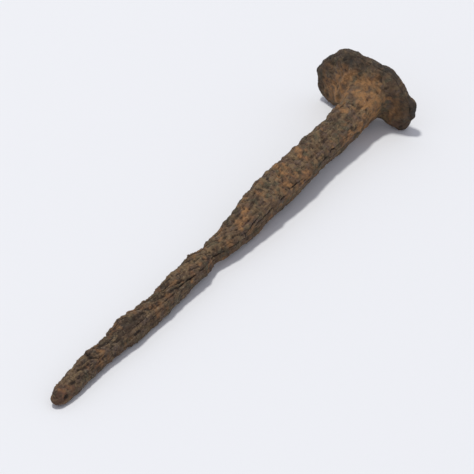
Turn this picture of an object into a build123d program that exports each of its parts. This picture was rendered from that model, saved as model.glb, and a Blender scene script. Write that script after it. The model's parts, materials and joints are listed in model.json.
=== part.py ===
from build123d import *
import os
from math import atan2, cos, degrees, hypot, radians, sin

os.makedirs("parts", exist_ok=True)

# A corroded hand-forged rail spike, lying on its tip and on the two feet of its D-shaped head.
# It is drawn along its own axis first: X from the tip to the head, Y to the spike's left, Z up.
# The last step lays it down, so that +Z is up from the surface under it.

# Driving dimensions, in millimetres and degrees
UNDER_HEAD = 152.0  # tip to the underside of the head: a 6 inch spike
RIM_THICKNESS = 2.4  # the edge of the head
HEAD_DOME = 1.7  # how far the struck face stands above the rim
HEAD_AXIS_HEIGHT = 8.0  # the shank's axis above the surface, at the head
TIP_AXIS_HEIGHT = 1.95  # and at the tip
CRUST = 0.8  # thickness of the rust
CRACK = 0.2  # width of the cracks between the plates of rust
CORNER_SHARPNESS = 5.0  # exponent of the superellipse that is the shank's section
FACE_STEPS = 8  # facets across each side of the shank

# The shank: distance from the tip, side of the square, shift left, lift, twist
SHANK_STATIONS = [
    (0.0, 1.5, 0.1, 0.1, 0.0),
    (0.6, 2.9, 0.1, 0.1, 0.0),
    (2.5, 4.0, 0.1, 0.1, 0.0),
    (6.0, 4.4, 0.1, 0.1, 0.0),
    (12.0, 4.8, 0.4, 0.3, 0.0),
    (17.0, 5.0, 0.5, 0.4, 0.0),
    (22.5, 5.1, 0.4, 0.3, 0.5),
    (27.5, 5.5, 0.3, 0.2, 0.5),
    (32.5, 6.3, 0.1, 0.1, 1.0),
    (38.0, 6.0, -0.1, 0.0, 1.0),
    (43.0, 5.6, -0.4, -0.3, 2.0),
    (47.0, 6.2, -0.4, -0.3, 2.0),
    (54.0, 5.7, -0.1, -0.1, 3.0),
    (59.5, 5.6, -0.2, -0.1, 3.0),
    (64.5, 6.1, -0.2, -0.1, 4.0),
    (70.0, 4.6, -0.1, -0.1, 6.0),
    (73.0, 5.3, -0.4, -0.3, 7.0),
    (78.5, 6.5, -0.5, -0.3, 9.0),
    (84.0, 7.4, -0.5, -0.3, 12.0),
    (90.0, 8.5, 0.0, 0.0, 16.0),
    (98.0, 9.3, 0.3, 0.2, 20.0),
    (104.0, 9.4, 0.1, 0.1, 21.0),
    (113.0, 9.2, -0.1, 0.0, 21.0),
    (118.0, 8.8, -0.1, 0.0, 21.0),
    (128.0, 8.8, 0.2, 0.1, 20.0),
    (134.0, 9.1, 0.0, 0.0, 20.0),
    (141.4, 8.9, 0.0, 0.0, 20.0),
]

# The head's outline round the shank's axis: left, up. The two lowest points are its feet.
HEAD_OUTLINE = [
    (12.6, -8.0),
    (15.6, -6.6),
    (17.5, -4.2),
    (18.0, -0.5),
    (17.2, 4.0),
    (14.4, 7.6),
    (10.4, 11.0),
    (6.2, 13.4),
    (3.6, 13.0),
    (-0.2, 12.2),
    (-4.7, 11.3),
    (-9.0, 8.6),
    (-11.3, 5.7),
    (-13.3, 2.5),
    (-14.4, -1.0),
    (-12.7, -4.3),
    (-11.0, -6.6),
    (-8.7, -8.0),
    (-6.3, -6.7),
    (-3.3, -5.6),
    (1.5, -5.6),
    (7.0, -6.3),
]

# The flare and the head: distance from the underside, and how much of the section is the
# head's outline (the rest is the shank's square)
UNDERSIDE = [(-7.0, 0.06), (-3.6, 0.18), (-1.6, 0.42), (-0.4, 0.75), (0.4, 0.97)]
FLARE_GONE_AT = 232.0  # degrees round from the spike's left: here the head meets the shank squarely
FLARE_SHARPENING = 6.0  # and here the shares above are raised to 1 more than this power
RIM = [(1.2, 1.0), (RIM_THICKNESS, 0.99)]
FACE = [(RIM_THICKNESS + 0.8, 0.93), (RIM_THICKNESS + HEAD_DOME, 0.7)]

# Where the rust has split, as distances from the tip
TIP_CRACK = 18.2
NECK_CRACK = 68.6
FLARE_CRACK = SHANK_STATIONS[-1][0]
RIM_CRACK = UNDER_HEAD + 0.8
FACE_CRACK = UNDER_HEAD + RIM_THICKNESS + 0.3

# How the iron under the rust differs from the outside
CORE_START = 2.4
CORE_UNDERSIDE_SHIFT = 0.6
CORE_FACE_SHIFT = 0.7


def shank_at(distance):
    """Side, shift left, lift and twist of the shank at a distance from its tip."""
    stations = zip(SHANK_STATIONS, SHANK_STATIONS[1:])
    for low, high in stations:
        if low[0] <= distance <= high[0]:
            share = (distance - low[0]) / (high[0] - low[0])
            return [a + share * (b - a) for a, b in zip(low[1:], high[1:])]
    return SHANK_STATIONS[-1][1:]


def square_radius(angle, side):
    """Radius of a rounded square, at an angle from the middle of one side."""
    n = CORNER_SHARPNESS
    return side / 2 / (abs(cos(angle)) ** n + abs(sin(angle)) ** n) ** (1 / n)


def head_radius(angle):
    """Radius of the head's outline at an angle from the spike's left."""
    circle = [degrees(atan2(up, left)) % 360 for left, up in HEAD_OUTLINE]
    radii = [hypot(left, up) for left, up in HEAD_OUTLINE]
    wanted = degrees(angle) % 360
    order = sorted(range(len(circle)), key=lambda i: circle[i])
    for here, after in zip(order, order[1:] + order[:1]):
        gap = (circle[after] - circle[here]) % 360
        part = (wanted - circle[here]) % 360
        if part <= gap:
            share = part / gap
            return radii[here] + share * (radii[after] - radii[here])
    return radii[0]


def flared_share(distance, share, angle):
    """How much of the head's outline a section has, at an angle from the spike's left."""
    if distance > UNDER_HEAD + UNDERSIDE[-1][0]:
        return share
    return share ** (1 + FLARE_SHARPENING * max(0.0, cos(angle - radians(FLARE_GONE_AT))))


def face_angles(side_number, radius, twist):
    """Angles across one side of the shank, from crack to crack (side 0 faces left, 1 up)."""
    gap = degrees(CRACK / 2 / radius)
    first = 90 * side_number - 45 + gap + twist
    last = 90 * side_number + 45 - gap + twist
    return [radians(first + (last - first) * i / FACE_STEPS) for i in range(FACE_STEPS + 1)]


def arc(distance, side_number, head_share=0.0, inset=0.0):
    """Points across one side of the spike at a distance from its tip."""
    side, left, lift, twist = shank_at(distance)
    points = []
    for angle in face_angles(side_number, 0.6 * side, twist):
        square = square_radius(angle - radians(twist), side)
        share = flared_share(distance, head_share, angle) if head_share else 0.0
        radius = (1 - share) * square + share * head_radius(angle)
        radius = max(radius - inset, 0.45 * radius)
        points.append(Vector(distance, left + radius * cos(angle), lift + radius * sin(angle)))
    return points


def ring(distance, head_share=0.0, inset=0.0):
    """One closed cross section of the spike."""
    points = [point for number in range(4) for point in arc(distance, number, head_share, inset)]
    return Wire.make_polygon(points)


def plate_section(distance, side_number):
    """Cross section of the rust on one side of the shank."""
    outside = arc(distance, side_number)
    inside = arc(distance, side_number, inset=CRUST)
    return Wire.make_polygon(outside + inside[::-1])


def stretch(start, end):
    """The distances from start to end at which the shank has a section."""
    cracks = [TIP_CRACK, TIP_CRACK + CRACK, NECK_CRACK, NECK_CRACK + CRACK]
    places = sorted([station[0] for station in SHANK_STATIONS] + cracks)
    return [place for place in places if start <= place <= end]


def body(start, inset=0.0, underside_shift=0.0, face_shift=0.0):
    """The whole spike as one solid, shrunk by the inset."""
    rings = [ring(place, inset=inset) for place in stretch(start, FLARE_CRACK)]
    for distance, share in UNDERSIDE:
        rings.append(ring(UNDER_HEAD + distance + underside_shift, share, inset))
    for distance, share in RIM + FACE:
        rings.append(ring(UNDER_HEAD + distance - face_shift * (distance > RIM[0][0]), share, inset))
    return Solid.make_loft(rings, ruled=True)


def plate(side_number, start, end):
    """The rust on one side of the shank between two distances."""
    sections = [plate_section(place, side_number) for place in stretch(start, end)]
    return Solid.make_loft(sections, ruled=True)


def block(start, end):
    """All the space between two distances along the spike."""
    return Pos((start + end) / 2, 0, 0) * Box(end - start, 80, 80)


spike = body(0.0)
core = body(CORE_START, CRUST, CORE_UNDERSIDE_SHIFT, CORE_FACE_SHIFT)
plates_start = TIP_CRACK + CRACK
neck_end = NECK_CRACK + CRACK

NODES = {
    "iron_core": core,
    "tip_crust": (spike & block(-5, TIP_CRACK)) - core,
    "shank_top_crust_fore": plate(1, plates_start, NECK_CRACK),
    "shank_top_crust_aft": plate(1, neck_end, FLARE_CRACK),
    "shank_right_crust_fore": plate(2, plates_start, NECK_CRACK),
    "shank_right_crust_aft": plate(2, neck_end, FLARE_CRACK),
    "shank_left_crust": plate(0, plates_start, FLARE_CRACK),
    "shank_bottom_crust": plate(3, plates_start, FLARE_CRACK),
    "head_underside_crust": (spike & block(FLARE_CRACK + CRACK, RIM_CRACK)) - core,
    "head_rim_crust": (spike & block(RIM_CRACK + CRACK, FACE_CRACK)) - core,
    "head_face_crust": (spike & block(FACE_CRACK + CRACK, UNDER_HEAD + 20)) - core,
}

# Lay the spike down: raise the head end, then centre the bounding box on the origin
slope = degrees(atan2(HEAD_AXIS_HEIGHT - TIP_AXIS_HEIGHT, UNDER_HEAD))
lie_down = Rot(0, -slope, 0)
box = (lie_down * spike).bounding_box()
to_origin = Pos(-box.center().X, -box.center().Y, -box.min.Z)

for name, shape in NODES.items():
    placed = to_origin * lie_down * shape
    print(name, len(placed.solids()), round(placed.volume, 1), placed.is_valid)
    export_step(placed, "parts/" + name + ".step")

# The places of the mounts on the spike's axis, and how much it slopes
MOUNTS = {"struck_face": UNDER_HEAD + FACE[-1][0], "bearing_face": UNDER_HEAD, "shank": UNDER_HEAD / 2}
for name, distance in MOUNTS.items():
    print(name, (to_origin * lie_down * Pos(distance, 0, 0)).position, slope)
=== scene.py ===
import json
import math
import bpy
import numpy as np
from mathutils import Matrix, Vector


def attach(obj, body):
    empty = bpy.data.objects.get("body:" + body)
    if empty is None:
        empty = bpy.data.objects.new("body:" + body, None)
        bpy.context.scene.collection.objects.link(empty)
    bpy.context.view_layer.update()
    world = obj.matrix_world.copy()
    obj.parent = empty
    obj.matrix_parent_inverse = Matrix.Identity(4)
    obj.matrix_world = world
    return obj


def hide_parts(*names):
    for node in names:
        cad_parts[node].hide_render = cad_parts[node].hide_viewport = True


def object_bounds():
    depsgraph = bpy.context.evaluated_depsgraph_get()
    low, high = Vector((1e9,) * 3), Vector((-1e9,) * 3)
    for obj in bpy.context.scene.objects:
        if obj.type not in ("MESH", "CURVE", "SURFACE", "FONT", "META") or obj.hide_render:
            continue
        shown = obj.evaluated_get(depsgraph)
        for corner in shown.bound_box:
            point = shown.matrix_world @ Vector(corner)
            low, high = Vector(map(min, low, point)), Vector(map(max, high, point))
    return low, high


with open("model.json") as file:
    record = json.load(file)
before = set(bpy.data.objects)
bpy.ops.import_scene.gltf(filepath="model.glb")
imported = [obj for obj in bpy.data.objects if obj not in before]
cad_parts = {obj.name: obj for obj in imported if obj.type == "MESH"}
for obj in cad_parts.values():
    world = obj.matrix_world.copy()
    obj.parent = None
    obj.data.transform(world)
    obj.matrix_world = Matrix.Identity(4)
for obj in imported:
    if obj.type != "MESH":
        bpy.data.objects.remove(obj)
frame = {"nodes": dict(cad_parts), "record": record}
cad_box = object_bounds()

MM = 0.001
SEED = 7

# The skin of rust: it starts as a coarse wrap of the CAD nodes, and is divided twice
WRAP_VOXEL = 0.6
WRAP_SMOOTHING = 4
WRAP_DIVISIONS = 2
CRUST_THICKNESS = 0.5
CRUST_THINNEST = 0.12

# Places along the spike, in mm from its tip
TIP_CRACK = 16.8
NECK = 68.7
TWIST_FROM, TWIST_TO = 50.0, 98.0
TWIST = 20.0
FLARE = 141.5
UNDERSIDE_EDGE = 152.9
FACE_EDGE = 154.8
GASH = 49.7
HOLE = 3.0

# Angles round the shank are in degrees from the spike's left, by way of up
CORNERS = (45.0, 135.0, 225.0, 315.0)
SPLIT_CORNER = 135.0  # between the upper and the right-hand plates
RIGHT_SIDE = (135.0, 225.0)
HOLE_ANGLE = 168.0

# Across the underside of the head, as mm left of the axis and above it
RIDGE_FROM = (9.3, -3.5)
RIDGE_TO = (4.6, 10.5)
RIDGE_HALF_WIDTH = 1.1

# The rust: heights and depths in mm, and how fast its strands wind round the shank, in degrees a mm
LUMPS = 0.26
STRANDS = 0.40
GRAINS = 0.34
KNOBS = 0.26
SWELL = 0.16
RIM_SWELL = 0.35
RIDGE = 1.25
CRACK_DEPTH = 0.55
HAIRLINE_DEPTH = 0.14
HOLE_DEPTH = 0.9
HOLE_RADIUS = 0.85
DEEPEST, HIGHEST = -0.95, 1.1
LEAN_LEFT, LEAN_RIGHT = 0.9, 0.25  # how far the rust of the head leans left, on each side
WINDING = 5.0
WINDING_ENDS = 80.0

CRUST_NODES = [
    "tip_crust",
    "shank_top_crust_fore",
    "shank_top_crust_aft",
    "shank_right_crust_fore",
    "shank_right_crust_aft",
    "shank_left_crust",
    "shank_bottom_crust",
    "head_underside_crust",
    "head_rim_crust",
    "head_face_crust",
]


# ---------------------------------------------------------------- the spike's own axes

def spike_axes():
    """The tip of the spike's axis, and its directions: along, left and up. In mm."""
    mount = next(m for m in frame["record"]["mounts"] if m["name"] == "struck_face")
    along = np.array(mount["axis"], float)
    along /= np.linalg.norm(along)
    left = np.array([0.0, 1.0, 0.0])
    up = np.cross(along, left)
    head = np.array(mount["pos_m"], float) / MM
    length = (head[0] - cad_box[0][0] / MM) / along[0]
    return head - along * length, along, left, up


TIP, ALONG, LEFT, UP = spike_axes()


def spike_places(points):
    """Distance from the tip, and offsets left and up from the axis, of points in mm."""
    rel = points - TIP
    return rel @ ALONG, rel @ LEFT, rel @ UP


def smooth_step(low, high, x):
    x = np.clip((x - low) / (high - low), 0.0, 1.0)
    return x * x * (3.0 - 2.0 * x)


def bump(centre, half_width, x):
    """A smooth hill of height 1."""
    return np.exp(-(((x - centre) / half_width) ** 2))


def twist_at(t):
    return TWIST * smooth_step(TWIST_FROM, TWIST_TO, t)


# ---------------------------------------------------------------- noise

def hashed(ix, iy, iz, seed):
    """A repeatable number from 0 to 1 for each corner of the noise lattice."""
    h = (ix * 374761393 + iy * 668265263 + iz * 2147483647 + seed * 1274126177) & 0xFFFFFFFF
    h = ((h ^ (h >> 13)) * 1103515245) & 0xFFFFFFFF
    h = ((h ^ (h >> 16)) * 2654435761) & 0xFFFFFFFF
    return ((h ^ (h >> 15)) & 0xFFFFFF) / float(0xFFFFFF)


def noise(points, seed):
    """Smooth lattice noise from -1 to 1, one feature per unit."""
    cell = np.floor(points).astype(np.int64)
    f = points - cell
    f = f * f * f * (f * (f * 6.0 - 15.0) + 10.0)
    total = np.zeros(len(points))
    for dx in (0, 1):
        wx = f[:, 0] if dx else 1.0 - f[:, 0]
        for dy in (0, 1):
            wy = f[:, 1] if dy else 1.0 - f[:, 1]
            for dz in (0, 1):
                wz = f[:, 2] if dz else 1.0 - f[:, 2]
                total += wx * wy * wz * hashed(cell[:, 0] + dx, cell[:, 1] + dy, cell[:, 2] + dz, seed)
    return total * 2.0 - 1.0


def layered(points, seed, octaves=3, gain=0.5):
    """Noise added up over octaves, each half the size of the last."""
    total = np.zeros(len(points))
    height = 1.0
    for octave in range(octaves):
        total += height * noise(points * 2.0 ** octave + 17.3 * octave, seed + octave)
        height *= gain
    return total


def flakes(points, seed):
    """Uneven grains packed together: 0 in the crevices between them, about 1 in their middles.

    Also gives each point its grain's own number, from 0 to 1.
    """
    cell = np.floor(points).astype(np.int64)
    nearest = np.full(len(points), 9.0)
    second = np.full(len(points), 9.0)
    own = np.zeros(len(points))
    for dx in (-1, 0, 1):
        for dy in (-1, 0, 1):
            for dz in (-1, 0, 1):
                x, y, z = cell[:, 0] + dx, cell[:, 1] + dy, cell[:, 2] + dz
                far = (points[:, 0] - x - hashed(x, y, z, seed)) ** 2
                far += (points[:, 1] - y - hashed(x, y, z, seed + 1)) ** 2
                far = np.sqrt(far + (points[:, 2] - z - hashed(x, y, z, seed + 2)) ** 2)
                closer = far < nearest
                second = np.where(closer, nearest, np.minimum(second, far))
                own = np.where(closer, hashed(x, y, z, seed + 3), own)
                nearest = np.where(closer, far, nearest)
    return np.clip((second - nearest) * 2.2, 0.0, 1.0), own


def ridged(points, seed, octaves=3):
    """Sharp crests between rounded hollows, from about 0 to 1."""
    total = np.zeros(len(points))
    height = 0.6
    for octave in range(octaves):
        crests = 1.0 - np.abs(noise(points * 2.0 ** octave + 5.1 * octave, seed + octave))
        total += height * crests ** 2
        height *= 0.5
    return total


# ---------------------------------------------------------------- the skin

def applied_mesh(obj):
    """The object's mesh with its modifiers applied."""
    depsgraph = bpy.context.evaluated_depsgraph_get()
    mesh = bpy.data.meshes.new_from_object(obj.evaluated_get(depsgraph))
    data = obj.data
    bpy.data.objects.remove(obj)
    bpy.data.meshes.remove(data)
    return mesh


def wrap_of_cad():
    """One smooth closed quad mesh round all the CAD nodes, in mm."""
    vertices, faces = [], []
    for node in frame["nodes"].values():
        start = len(vertices)
        vertices += [tuple(v.co / MM) for v in node.data.vertices]
        faces += [[start + i for i in p.vertices] for p in node.data.polygons]
    mesh = bpy.data.meshes.new("wrap")
    mesh.from_pydata(vertices, [], faces)
    obj = bpy.data.objects.new("wrap", mesh)
    bpy.context.scene.collection.objects.link(obj)
    remesh = obj.modifiers.new("voxels", "REMESH")
    remesh.mode = "VOXEL"
    remesh.voxel_size = WRAP_VOXEL
    smooth = obj.modifiers.new("smooth", "SMOOTH")
    smooth.factor = 0.5
    smooth.iterations = WRAP_SMOOTHING
    divide = obj.modifiers.new("divide", "SUBSURF")
    divide.levels = WRAP_DIVISIONS
    divide.render_levels = WRAP_DIVISIONS
    return applied_mesh(obj)


def mesh_arrays(mesh):
    points = np.zeros(len(mesh.vertices) * 3)
    mesh.vertices.foreach_get("co", points)
    quads = np.zeros(len(mesh.loops), np.int64)
    mesh.loops.foreach_get("vertex_index", quads)
    normals = np.zeros(len(mesh.vertices) * 3)
    mesh.vertex_normals.foreach_get("vector", normals)
    return points.reshape(-1, 3), quads.reshape(-1, 4), normals.reshape(-1, 3)


# ---------------------------------------------------------------- the relief of the rust

class Surface:
    """The wrap's points with their places on the spike: along, round and which way they face."""

    def __init__(self, mesh):
        self.points, self.quads, self.normals = mesh_arrays(mesh)
        self.t, self.head_left, self.head_up = spike_places(self.points)
        left, up = self.centred(self.head_left), self.centred(self.head_up)
        self.radius = np.hypot(left, up)
        self.angle = (np.degrees(np.arctan2(up, left)) - twist_at(self.t)) % 360.0
        turn = np.radians(twist_at(self.t))
        self.across = left * np.cos(turn) + up * np.sin(turn)
        self.rise = up * np.cos(turn) - left * np.sin(turn)
        self.on_head = smooth_step(FLARE - 3.0, FLARE + 9.0, self.t)
        self.on_face = smooth_step(0.3, 0.8, self.normals @ ALONG)
        self.on_underside = smooth_step(-0.2, -0.6, self.normals @ ALONG) * self.on_head
        self.from_hole = self.distance_from_hole()
        self.on_rim = bump(0.5 * (UNDERSIDE_EDGE + FACE_EDGE), 1.9, self.t)
        self.on_rim *= smooth_step(7.0, 10.0, self.radius)

    def centred(self, offset):
        """Offsets from the middle of the shank, which is not quite straight."""
        steps = np.clip(np.round(self.t).astype(int), 0, int(FLARE))
        count = np.maximum(np.bincount(steps), 1)
        middle = np.bincount(steps, weights=offset) / count
        middle[-1] = 0.0
        middle = np.convolve(np.pad(middle, 2, mode="edge"), np.ones(5) / 5.0, mode="valid")
        return offset - middle[steps] * (self.t < FLARE)

    def distance_from_hole(self):
        """Distance in mm from the hole, which is on the right of the tip."""
        round_tip = np.radians((self.angle - HOLE_ANGLE + 180.0) % 360.0 - 180.0) * self.radius
        return np.hypot(self.t - HOLE, round_tip)

    def smoothed(self, values, rounds):
        """Values averaged with their neighbours, round after round."""
        count = np.bincount(self.quads.ravel(), minlength=len(values))
        for _ in range(rounds):
            mean = np.repeat(values[self.quads].mean(axis=1), 4)
            values = np.bincount(self.quads.ravel(), weights=mean, minlength=len(values)) / count
        return values

    def corner_distance(self, corner, wander):
        """Distance in mm round the shank from a corner, which wanders as the rust does."""
        turn = (self.angle - corner + 180.0) % 360.0 - 180.0
        return np.radians(turn) * self.radius + wander


def line_noise(t, length, seed):
    """Noise that changes only along the spike."""
    return noise(np.stack([t / length, t * 0.0, t * 0.0], axis=1), seed)


class Cracks:
    """Signed distances in mm from the lines along which the rust has parted."""

    def __init__(self, s):
        self.corner = {}
        for number, corner in enumerate(CORNERS):
            wander = 0.5 * line_noise(s.t, 7.0, SEED + 60 + number)
            wander += 0.2 * line_noise(s.t, 1.8, SEED + 65 + number)
            if corner == SPLIT_CORNER:
                wander -= 1.7 * bump(80.0, 12.0, s.t) + 0.7 * bump(120.0, 15.0, s.t)
            self.corner[corner] = s.corner_distance(corner, wander)
        bend = 1.3 * (s.across / 3.0) ** 2
        ragged = 0.35 * noise(s.points / 1.6, SEED + 70)
        self.tip = s.t - TIP_CRACK - bend - ragged
        slant = 0.8 * (s.angle - 85.0) / 10.0
        self.gash = 0.45 * (s.t - GASH) - slant - ragged
        self.neck = s.t - NECK - 1.2 * noise(s.points / 2.5, SEED + 71)
        self.flare = s.t - FLARE - 1.0 * noise(s.points / 2.8, SEED + 72)
        self.rim = s.t - UNDERSIDE_EDGE - 0.25 * noise(s.points / 2.0, SEED + 73)
        self.face = s.t - FACE_EDGE - 0.25 * noise(s.points / 2.0, SEED + 74)


def groove(distance, half_width):
    """How deep in a groove a point is, from 0 to 1."""
    return np.exp(-((distance / half_width) ** 2))


def warped(points, amount, size, seed):
    """Points pushed about by noise, so that what is drawn on them loses its regular look."""
    shift = [noise(points / size + 3.7 * axis, seed + axis) for axis in range(3)]
    return points + amount * np.stack(shift, axis=1)


def wound(s):
    """Places on the shank as distance along it and offsets that wind round it like a rope's."""
    turn = np.radians(WINDING * np.minimum(s.t, WINDING_ENDS))
    across = s.across * np.cos(turn) + s.rise * np.sin(turn)
    rise = s.rise * np.cos(turn) - s.across * np.sin(turn)
    return np.stack([s.t, across, rise], axis=1)


def fore_part(s):
    """1 on the thin fore part of the shank, fading to 0 past the neck."""
    return smooth_step(95.0, 60.0, s.t)


def facing(s, from_angle, to_angle, fade=14.0):
    """1 on the part of the shank's surface between two angles round it, 0 elsewhere."""
    middle, half = 0.5 * (from_angle + to_angle), 0.5 * (to_angle - from_angle)
    off = np.abs((s.angle - middle + 180.0) % 360.0 - 180.0)
    return smooth_step(half + fade, half - fade, off)


def head_ridge(s):
    """The raised line up the underside of the head, from the shank's corner to the rim."""
    along = np.clip((s.head_up - RIDGE_FROM[1]) / (RIDGE_TO[1] - RIDGE_FROM[1]), 0.0, 1.0)
    line = RIDGE_FROM[0] + along * (RIDGE_TO[0] - RIDGE_FROM[0])
    line = line + 0.5 * line_noise(s.head_up, 2.2, SEED + 64)
    inside = smooth_step(-5.5, -2.0, s.head_up) * smooth_step(13.0, 9.0, s.head_up)
    return inside * bump(line, RIDGE_HALF_WIDTH, s.head_left) * s.on_underside


def strands_of_iron(s):
    """Strands wind round the shank, and run straight on its right side.

    Gives how high each point is on a winding strand, and on the strands altogether.
    """
    straight = np.stack([s.t, s.across, s.rise], axis=1)
    winding = warped(wound(s) / np.array([7.0, 1.4, 1.4]), 0.5, 1.6, SEED + 20)
    fibres = warped(straight / np.array([10.0, 1.05, 1.05]), 0.35, 1.6, SEED + 24)
    winding = ridged(winding, SEED + 21, 2) - 0.45
    fibres = ridged(fibres, SEED + 25, 2) - 0.45
    strands = (1.0 + 1.6 * fore_part(s)) * winding
    strands += (1.7 * fibres - strands) * facing(s, *RIGHT_SIDE)
    return winding, strands


def grains_of_rust(s):
    """Grains of two sizes with crevices between them, and knobs. In mm."""
    p = s.points
    fore = fore_part(s)
    on_right = facing(s, *RIGHT_SIDE)
    stretched = warped(wound(s) / np.array([2.3, 1.5, 1.5]), 0.55, 0.7, SEED + 30)
    big, big_own = flakes(stretched, SEED + 33)
    small, small_own = flakes(warped(p / 0.85, 0.45, 0.8, SEED + 40), SEED + 43)
    patchy = smooth_step(-0.35, 0.6, layered(p / 3.0, SEED + 12, 2))
    quiet = (1.0 - 0.6 * on_right) * (1.0 - 0.5 * s.on_head)
    big_grains = patchy * (0.2 + 0.7 * fore) * (smooth_step(0.0, 0.8, big) - 0.6)
    big_grains += 0.6 * (big_own - 0.5)
    small_grains = smooth_step(0.0, 0.8, small) - 0.55 + 0.8 * (small_own - 0.5)
    height = GRAINS * quiet * (big_grains + 0.25 * (0.4 + 0.6 * fore) * small_grains)
    knobs = layered(warped(p / 2.0, 0.5, 1.4, SEED + 44), SEED + 47, 3)
    height += KNOBS * (1.3 - 0.3 * fore) * (1.0 - 0.5 * on_right) * (1.0 - 0.1 * s.on_head) * knobs
    return height


def rim_and_ridge(s):
    """The edge of the head is a row of burst lumps, and a ridge runs up its underside. In mm."""
    burst = 0.55 * layered(s.points / 3.2, SEED + 50, 2)
    burst += 0.3 * ridged(s.points / 1.8, SEED + 52, 2) - 0.15
    swell = RIM_SWELL * (0.5 + 0.5 * smooth_step(-14.0, -4.0, s.head_left))
    return s.on_rim * (burst + swell) + RIDGE * head_ridge(s)


def open_cracks(s, cracks):
    """How deep each point is in a crack that gapes, from 0 to 1."""
    # The long crack at the split corner opens and closes, and is double in two places
    p = s.points
    split = cracks.corner[SPLIT_CORNER] + 0.35 * noise(p / 0.9, SEED + 63)
    opening = smooth_step(-0.25, 0.3, line_noise(s.t, 5.0, SEED + 62))
    reach = smooth_step(32.0, 60.0, s.t) * smooth_step(146.0, 141.0, s.t)
    broken = smooth_step(-0.45, 0.15, noise(p / 1.3, SEED + 66))
    deep = 0.75 * opening * reach * broken * groove(split, 0.32)
    second = bump(82.0, 8.0, s.t) + bump(41.0, 3.0, s.t)
    deep = np.maximum(deep, 0.7 * second * broken * groove(split + 1.3, 0.3))

    # The crack across the tip gapes only on the upper left, and a gash lies further up
    deep = np.maximum(deep, facing(s, 50.0, 125.0) * groove(cracks.tip, 0.5))
    gash = bump(GASH, 2.6, s.t) * facing(s, 75.0, 95.0, 10.0)
    return np.maximum(deep, 0.9 * gash * groove(cracks.gash, 0.4))


def hairlines(s, cracks):
    """How deep each point is in one of the fine cracks between the plates, from 0 to 1."""
    plates = (1.0 - s.on_head) * smooth_step(0.0, 0.5, cracks.tip)
    fine = np.maximum(groove(cracks.rim, 0.15), groove(cracks.face, 0.15))
    for corner in cracks.corner.values():
        fine = np.maximum(fine, plates * groove(corner, 0.14))
    fine = np.maximum(fine, 0.8 * facing(s, 45.0, 225.0) * groove(cracks.neck, 0.16))
    fine = np.maximum(fine, groove(cracks.tip, 0.14))
    return np.maximum(fine, 0.3 * groove(cracks.flare, 0.12))


def relief_of(s, cracks):
    """How far each point of the skin stands out or in, in mm, how deep it is in a crack, and
    how high it is on one of the strands that wind round the shank."""
    # Swellings of rust give the spike its lumpy outline
    height = LUMPS * (1.0 + s.on_head) * layered(s.points / 5.5, SEED, 2)
    winding, strands = strands_of_iron(s)
    height += STRANDS * strands * (1.0 - 0.8 * s.on_head)
    height += grains_of_rust(s)

    # The very tip is rounded and smooth, apart from a hole
    height *= 0.5 + 0.5 * smooth_step(2.0, 11.0, s.t)
    height += rim_and_ridge(s)
    deep = open_cracks(s, cracks)
    fine = hairlines(s, cracks)
    hole = groove(s.from_hole, HOLE_RADIUS)
    height -= CRACK_DEPTH * deep + HAIRLINE_DEPTH * fine + HOLE_DEPTH * hole
    cracked = np.clip(deep + 0.45 * fine + 0.8 * hole, 0.0, 1.0)
    # Where the strands get painted highlight on their crests and painted shade between them, in colour
    seen = (1.0 - s.on_head) * (1.0 - facing(s, *RIGHT_SIDE)) * (0.3 + 0.7 * fore_part(s))
    return np.clip(height, DEEPEST, HIGHEST) + SWELL, cracked, winding * seen


def head_lean(s):
    """How far the skin of the head is moved left: its rust is thicker on that side."""
    leftness = smooth_step(-12.0, 12.0, s.head_left)
    lean = LEAN_RIGHT + (LEAN_LEFT - LEAN_RIGHT) * leftness
    return lean * smooth_step(FLARE + 2.0, UNDERSIDE_EDGE - 1.0, s.t)


def piece_of_quads(s, cracks):
    """The name of the crust node that each quad of the skin belongs to."""
    def middle(values):
        return values[s.quads].mean(axis=1)

    first = s.quads[:, 0]
    side = np.full(len(first), 0)
    angle = s.angle[first]
    nearest = np.round((angle - 45.0) / 90.0).astype(int) % 4
    for number, corner in enumerate(CORNERS):
        past = cracks.corner[corner][first] > 0.0
        side[nearest == number] = ((number + past) % 4)[nearest == number]
    after_neck = middle(cracks.neck) > 0.0
    names = np.array([
        "shank_left_crust", "shank_top_crust_fore", "shank_right_crust_fore", "shank_bottom_crust",
    ], dtype=object)[side]
    names[(side == 1) & after_neck] = "shank_top_crust_aft"
    names[(side == 2) & after_neck] = "shank_right_crust_aft"
    names[middle(cracks.tip) < 0.0] = "tip_crust"
    names[middle(cracks.flare) > 0.0] = "head_underside_crust"
    names[middle(cracks.rim) > 0.0] = "head_rim_crust"
    names[middle(cracks.face) > 0.0] = "head_face_crust"
    return names


def closed_shell(quads, outer, inner):
    """Faces of a plate: its outer skin, its inner skin, and the broken edge between them."""
    used, local = np.unique(quads, return_inverse=True)
    local = local.reshape(quads.shape)
    count = len(used)
    edges = np.concatenate([local[:, [i, (i + 1) % 4]] for i in range(4)])
    key = edges[:, 0] * count + edges[:, 1]
    reverse = edges[:, 1] * count + edges[:, 0]
    rim = edges[~np.isin(key, reverse)]
    walls = np.stack([rim[:, 1], rim[:, 0], rim[:, 0] + count, rim[:, 1] + count], axis=1)
    faces = np.concatenate([local, local[:, ::-1] + count, walls])
    points = np.concatenate([outer[used], inner[used]])
    return points, faces, used


def quad_mesh(name, points, faces):
    mesh = bpy.data.meshes.new(name)
    mesh.vertices.add(len(points))
    mesh.vertices.foreach_set("co", (points * MM).ravel())
    mesh.loops.add(faces.size)
    mesh.loops.foreach_set("vertex_index", faces.ravel())
    mesh.polygons.add(len(faces))
    mesh.polygons.foreach_set("loop_start", np.arange(0, faces.size, 4))
    mesh.polygons.foreach_set("use_smooth", np.ones(len(faces), bool))
    mesh.update(calc_edges=True)
    mesh.validate()
    return mesh


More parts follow.
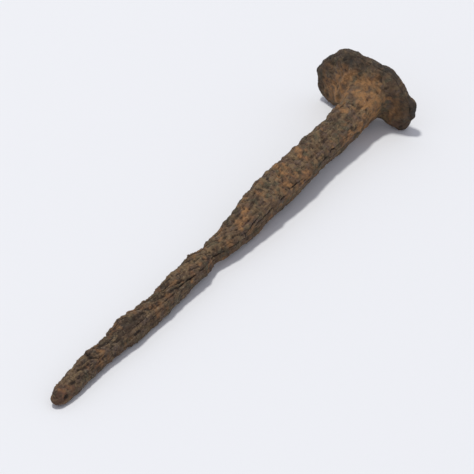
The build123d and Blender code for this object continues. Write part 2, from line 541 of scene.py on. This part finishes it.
def orange_places(s):
    """Where the orange patches lie, from 0 up: on the shank, at its root and on the head."""
    upper = facing(s, 30.0, 95.0, 20.0)
    on_shank = 0.60 * bump(86.0, 5.5, s.t) * upper
    on_shank += 0.70 * bump(105.5, 2.5, s.t) * facing(s, 40.0, 90.0)
    on_shank += 0.42 * bump(119.0, 8.0, s.t) * facing(s, 60.0, 150.0)
    at_root = 0.75 * bump(143.0, 6.0, s.t)
    middle = bump(0.5, 11.5, s.head_left) * bump(3.0, 8.0, s.head_up)
    left_lobe = bump(12.0, 4.0, s.head_left) * bump(-0.5, 4.5, s.head_up)
    right_lobe = bump(-9.0, 3.5, s.head_left) * bump(-0.5, 4.0, s.head_up)
    on_head = 0.18 + 0.50 * middle + 0.6 * head_ridge(s) + 0.6 * left_lobe + 0.75 * right_lobe
    return on_shank + at_root + s.on_head * on_head


def dark_places(s):
    """Where the rust is dark, from 0 to 1: the edge of the head, and the shank's far sides. The dark
    left lobe, rim and upper-left side of the shank are partly painted shade, where the surface turns
    away, and partly darker rust.
    """
    # The left lobe and the rim are darkened partly as painted shade, partly as darker rust
    left_lobe = smooth_step(13.0, 17.0, s.head_left)
    top_edge = smooth_step(8.0, 11.5, s.head_up) * (0.35 + 0.65 * smooth_step(-5.0, 3.0, s.head_left))
    on_head = np.maximum(np.maximum(0.7 * left_lobe, 0.25 * far_right(s)), 0.8 * top_edge)
    dark = np.maximum(s.on_head * on_head, s.on_rim)
    dark = np.maximum(dark, 0.15 * smooth_step(85.0, 45.0, s.t))
    # Partly painted shade, partly darker rust: the shank's upper-left side is darkened
    dark = np.maximum(dark, 0.5 * facing(s, -60.0, 38.0, 16.0) * (1.0 - s.on_head))
    return np.maximum(dark, 0.4 * s.on_face)


def far_right(s):
    """1 on the outer end of the head's right lobe."""
    return smooth_step(-6.5, -10.5, s.head_left + 0.35 * s.head_up)


def colour_masks(s, height, cracked, winding):
    """Where the rust is hollow, stranded, orange, dark, red, wet or gritty, from 0 to 1."""
    # The hollow mask paints shade into the rust's hollows and a pale highlight onto its crests
    hollow = 0.9 * (s.smoothed(height, 60) - height) + 0.8 * (s.smoothed(height, 10) - height)
    hollow *= 1.0 - 0.2 * s.on_head
    cloud = layered(s.points / 4.0, SEED + 100, 3)
    speckle = layered(s.points / 1.3, SEED + 103, 2)
    orange = smooth_step(0.15, 1.05, orange_places(s) + 0.7 * cloud + 0.55 * speckle - 0.08)
    dark = np.clip(dark_places(s) * (0.85 + 0.4 * cloud), 0.0, 1.0)
    red = 0.6 * bump(0.5, 3.5, s.t)
    red += 0.55 * s.on_head * far_right(s) * smooth_step(-1.0, -5.0, s.head_up)
    red += 0.5 * smooth_step(0.3, 0.75, cloud + 0.4 * speckle)
    return {
        "hollow": np.clip(0.5 + 1.3 * hollow, 0.0, 1.0),
        "cracked": cracked,
        "strand": np.clip(0.5 + winding, 0.0, 1.0),
        "orange": orange * (1.0 - 0.85 * dark),
        "dark": dark,
        "red": np.clip(red, 0.0, 1.0),
        "wet": groove(s.from_hole, 1.0),
        "gritty": 0.25 + 0.75 * fore_part(s),
    }


# ---------------------------------------------------------------- materials

def node_tree(name):
    material = bpy.data.materials.new(name)
    material.use_nodes = True
    tree = material.node_tree
    tree.nodes.clear()
    output = tree.nodes.new("ShaderNodeOutputMaterial")
    shader = tree.nodes.new("ShaderNodeBsdfPrincipled")
    tree.links.new(shader.outputs["BSDF"], output.inputs["Surface"])
    return material, tree, shader


def noise_node(tree, feature_mm, detail=4.0, roughness=0.6, distortion=0.0):
    """Noise in the object's own space, with features of a size in mm."""
    place = tree.nodes.new("ShaderNodeTexCoord")
    texture = tree.nodes.new("ShaderNodeTexNoise")
    texture.inputs["Scale"].default_value = 1.0 / (feature_mm * MM)
    texture.inputs["Detail"].default_value = detail
    texture.inputs["Roughness"].default_value = roughness
    texture.inputs["Distortion"].default_value = distortion
    tree.links.new(place.outputs["Object"], texture.inputs["Vector"])
    return texture.outputs["Fac"]


def mask_node(tree, name):
    node = tree.nodes.new("ShaderNodeAttribute")
    node.attribute_name = name
    return node.outputs["Fac"]


def remap(tree, value, low, high, to_low=0.0, to_high=1.0):
    node = tree.nodes.new("ShaderNodeMapRange")
    node.interpolation_type = "SMOOTHSTEP"
    node.inputs["From Min"].default_value = low
    node.inputs["From Max"].default_value = high
    node.inputs["To Min"].default_value = to_low
    node.inputs["To Max"].default_value = to_high
    tree.links.new(value, node.inputs["Value"])
    return node.outputs["Result"]


def times(tree, a, b):
    node = tree.nodes.new("ShaderNodeMath")
    node.operation = "MULTIPLY"
    tree.links.new(a, node.inputs[0])
    tree.links.new(b, node.inputs[1])
    return node.outputs["Value"]


def blend_colour(tree, share, under, over):
    """The colour under, covered with the colour over. Each is an output or an (r, g, b)."""
    node = tree.nodes.new("ShaderNodeMix")
    node.data_type = "RGBA"
    tree.links.new(share, node.inputs["Factor"])
    for socket, colour in ((node.inputs[6], under), (node.inputs[7], over)):
        if isinstance(colour, tuple):
            socket.default_value = (*colour, 1.0)
        else:
            tree.links.new(colour, socket)
    return node.outputs[2]


OCHRE = (0.198, 0.132, 0.070)
BROWN = (0.122, 0.076, 0.046)
UMBER = (0.040, 0.026, 0.018)
MAUVE = (0.120, 0.086, 0.072)
MOSS = (0.086, 0.078, 0.048)
ORANGE = (0.305, 0.160, 0.068)
RED = (0.135, 0.062, 0.040)
BLACK = (0.024, 0.017, 0.013)
PALE = (0.34, 0.26, 0.17)
SLATE = (0.040, 0.035, 0.029)
RUST_SHINE = 0.12

IRON = (0.030, 0.024, 0.020)
IRON_STAIN = (0.070, 0.036, 0.020)

# What the ground of the rust is mottled with: colour, size in mm, where its noise starts
# and is full, and how much it covers
MOTTLES = [
    (MAUVE, 2.6, 0.47, 0.62, 0.65),
    (MOSS, 3.2, 0.48, 0.62, 0.75),
    (OCHRE, 2.1, 0.49, 0.62, 0.85),
    (UMBER, 1.5, 0.51, 0.66, 0.80),
]

# The same for the dark and pale specks where the rust is gritty
SPECKS = [
    (UMBER, 0.75, 0.52, 0.62, 0.65),
    (PALE, 0.6, 0.56, 0.68, 0.35),
]

# What covers the masks of that name: colour, size in mm, where its noise starts and is full,
# and how much it covers at least
PATCHES = {
    "red": (RED, 1.7, 0.38, 0.60, 0.0),
    "orange": (ORANGE, 1.4, 0.34, 0.60, 0.15),
    # The dark mask is partly painted shade
    "dark": (SLATE, 1.5, 0.28, 0.55, 0.55),
}


def mottled_ground(tree):
    colour = BROWN
    for over, size, start, full, most in MOTTLES:
        texture = noise_node(tree, size, 4.0, 0.6, 0.5)
        colour = blend_colour(tree, remap(tree, texture, start, full, 0.0, most), colour, over)
    return colour


def with_painted_strand_shade(tree, colour):
    """Ochre along the crests of the strands and umber between them: painted highlight on the crests
    and painted shade in the grooves.
    """
    strand = mask_node(tree, "strand")
    patchy = remap(tree, noise_node(tree, 2.4, 4.0, 0.6, 0.5), 0.42, 0.58, 0.3, 1.0)
    crests = times(tree, remap(tree, strand, 0.56, 0.76, 0.0, 0.85), patchy)
    colour = blend_colour(tree, crests, colour, OCHRE)
    return blend_colour(tree, remap(tree, strand, 0.46, 0.30, 0.0, 0.75), colour, UMBER)


def with_specks(tree, colour):
    for over, size, start, full, most in SPECKS:
        specks = remap(tree, noise_node(tree, size, 3.0, 0.6, 0.4), start, full, 0.0, most)
        colour = blend_colour(tree, times(tree, mask_node(tree, "gritty"), specks), colour, over)
    return colour


def with_patches(tree, colour):
    for mask, (over, size, start, full, least) in PATCHES.items():
        broken = remap(tree, noise_node(tree, size, 6.0, 0.68, 0.3), start, full, least, 1.0)
        colour = blend_colour(tree, times(tree, mask_node(tree, mask), broken), colour, over)
    return colour


def with_painted_relief_shade(tree, colour):
    """Pale grains where the rust stands out, partly grain and partly painted highlight on its crests;
    black in its hollows as painted shade, and black along its cracks.
    """
    grains = remap(tree, noise_node(tree, 0.5, 3.0, 0.7), 0.55, 0.70, 0.0, 0.55)
    # Painted highlight on the crests, and painted shade in the hollows
    high = remap(tree, mask_node(tree, "hollow"), 0.50, 0.28, 0.0, 1.0)
    colour = blend_colour(tree, times(tree, grains, high), colour, PALE)
    low = remap(tree, mask_node(tree, "hollow"), 0.50, 0.95, 0.0, 0.75)
    colour = blend_colour(tree, low, colour, BLACK)
    cracked = remap(tree, mask_node(tree, "cracked"), 0.25, 1.0, 0.0, 0.8)
    return blend_colour(tree, cracked, colour, BLACK)


def rust_material(name):
    """Rust mottled with ochre, mauve and moss, orange in patches, with painted shade in its hollows
    and painted highlight on its crests.
    """
    material, tree, shader = node_tree(name)
    colour = mottled_ground(tree)
    for layer in (with_painted_strand_shade, with_specks, with_patches, with_painted_relief_shade):
        colour = layer(tree, colour)
    tree.links.new(colour, shader.inputs["Base Color"])
    roughness = remap(tree, noise_node(tree, 1.1, 4.0), 0.35, 0.65, 0.55, 0.9)
    dry = remap(tree, mask_node(tree, "wet"), 0.3, 0.8, 1.0, 0.15)
    tree.links.new(times(tree, roughness, dry), shader.inputs["Roughness"])
    shader.inputs["Specular IOR Level"].default_value = RUST_SHINE
    add_grit(tree, shader, 0.25, 0.06)
    return material


def add_grit(tree, shader, size, height):
    """Fine bumps, sized in mm."""
    bump_node = tree.nodes.new("ShaderNodeBump")
    bump_node.inputs["Strength"].default_value = 0.7
    bump_node.inputs["Distance"].default_value = height * MM
    tree.links.new(noise_node(tree, size, 4.0, 0.7), bump_node.inputs["Height"])
    tree.links.new(bump_node.outputs["Normal"], shader.inputs["Normal"])


def iron_material(name):
    """Bare dark iron, seen only down the cracks."""
    material, tree, shader = node_tree(name)
    stain = remap(tree, noise_node(tree, 1.2, 5.0), 0.40, 0.65)
    tree.links.new(blend_colour(tree, stain, IRON, IRON_STAIN), shader.inputs["Base Color"])
    tree.links.new(remap(tree, stain, 0.0, 1.0, 0.45, 0.8), shader.inputs["Roughness"])
    shader.inputs["Metallic"].default_value = 0.5
    add_grit(tree, shader, 0.3, 0.05)
    return material


# ---------------------------------------------------------------- the pieces

def make_crust():
    wrap = wrap_of_cad()
    s = Surface(wrap)
    bpy.data.meshes.remove(wrap)
    cracks = Cracks(s)
    height, cracked, winding = relief_of(s, cracks)
    depth = np.minimum(height - CRUST_THINNEST, -CRUST_THICKNESS)
    outer = s.points + s.normals * height[:, None] + LEFT * head_lean(s)[:, None]
    inner = s.points + s.normals * depth[:, None]
    outer[:, 2] = np.maximum(outer[:, 2], 0.0)
    inner[:, 2] = np.maximum(inner[:, 2], 0.02)
    masks = colour_masks(s, height, cracked, winding)
    names = piece_of_quads(s, cracks)
    for node in CRUST_NODES:
        points, faces, used = closed_shell(s.quads[names == node], outer, inner)
        mesh = quad_mesh("rust_" + node, points, faces)
        for mask, values in masks.items():
            layer = mesh.attributes.new(mask, "FLOAT", "POINT")
            both_skins = np.concatenate([values[used], values[used]])
            layer.data.foreach_set("value", both_skins.astype(np.float32))
        piece = bpy.data.objects.new("rust_" + node, mesh)
        bpy.context.scene.collection.objects.link(piece)
        mesh.materials.append(rust_material("rust_" + node))
        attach(piece, "root")
        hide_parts(node)


def finish_core():
    core = frame["nodes"]["iron_core"]
    core.data.materials.clear()
    core.data.materials.append(iron_material("dark_iron"))


# ---------------------------------------------------------------- floor, light and camera

CAMERA_AZIMUTH = -55.5
CAMERA_ELEVATION = 38.6
CAMERA_DISTANCE = 0.828
CAMERA_LENS = 228.5
AIM_RIGHT = 4.7 * MM
AIM_DOWN = 1.2 * MM
AIM_HEIGHT = 6.0 * MM
KEY_AZIMUTH = 100.0
KEY_ELEVATION = 81.0
KEY_DISTANCE = 3.0
KEY_SIZE = 0.32
KEY_POWER = 50.0
KEY_COLOUR = (1.0, 1.0, 0.97)
SURROUND = 0.52
SURROUND_COLOUR = (0.93, 0.95, 1.08)
FLOOR_SIZE = 4.0
FLOOR_COLOUR = (0.83, 0.832, 0.836)


def make_floor():
    bpy.ops.mesh.primitive_plane_add(size=FLOOR_SIZE, location=(0.0, 0.0, -0.1 * MM))
    floor = bpy.context.object
    floor.name = "floor"
    material, tree, shader = node_tree("pale_floor")
    shader.inputs["Base Color"].default_value = (*FLOOR_COLOUR, 1.0)
    shader.inputs["Roughness"].default_value = 0.9
    shader.inputs["Specular IOR Level"].default_value = 0.1
    floor.data.materials.append(material)


def view_directions():
    a, e = math.radians(CAMERA_AZIMUTH), math.radians(CAMERA_ELEVATION)
    forward = Vector((-math.sin(a) * math.cos(e), math.cos(a) * math.cos(e), -math.sin(e)))
    right = Vector((math.cos(a), math.sin(a), 0.0))
    return forward, right, right.cross(forward)


def make_camera():
    forward, right, up = view_directions()
    aim = Vector((0.0, 0.0, AIM_HEIGHT)) + right * AIM_RIGHT - up * AIM_DOWN
    camera = bpy.data.objects.new("camera", bpy.data.cameras.new("camera"))
    camera.data.lens = CAMERA_LENS
    camera.data.sensor_width = 36.0
    camera.data.clip_start = 0.01
    camera.location = aim - forward * CAMERA_DISTANCE
    camera.rotation_euler = forward.to_track_quat("-Z", "Y").to_euler()
    bpy.context.scene.collection.objects.link(camera)
    bpy.context.scene.camera = camera


def make_key_light():
    """A square soft light that faces the middle of the object."""
    a, e = math.radians(KEY_AZIMUTH), math.radians(KEY_ELEVATION)
    toward = Vector((math.cos(a) * math.cos(e), math.sin(a) * math.cos(e), math.sin(e)))
    light = bpy.data.objects.new("key", bpy.data.lights.new("key", "AREA"))
    light.data.shape = "SQUARE"
    light.data.size = KEY_SIZE
    light.data.energy = KEY_POWER
    light.data.color = KEY_COLOUR
    light.location = toward * KEY_DISTANCE
    light.rotation_euler = (-toward).to_track_quat("-Z", "Y").to_euler()
    bpy.context.scene.collection.objects.link(light)


def make_surround():
    """An even pale light from all round."""
    world = bpy.data.worlds.new("studio")
    world.use_nodes = True
    sky = world.node_tree.nodes["Background"]
    sky.inputs["Color"].default_value = (*SURROUND_COLOUR, 1.0)
    sky.inputs["Strength"].default_value = SURROUND
    bpy.context.scene.world = world


make_camera()
make_crust()
finish_core()
make_floor()
make_key_light()
make_surround()
bpy.context.scene.view_settings.view_transform = "Standard"
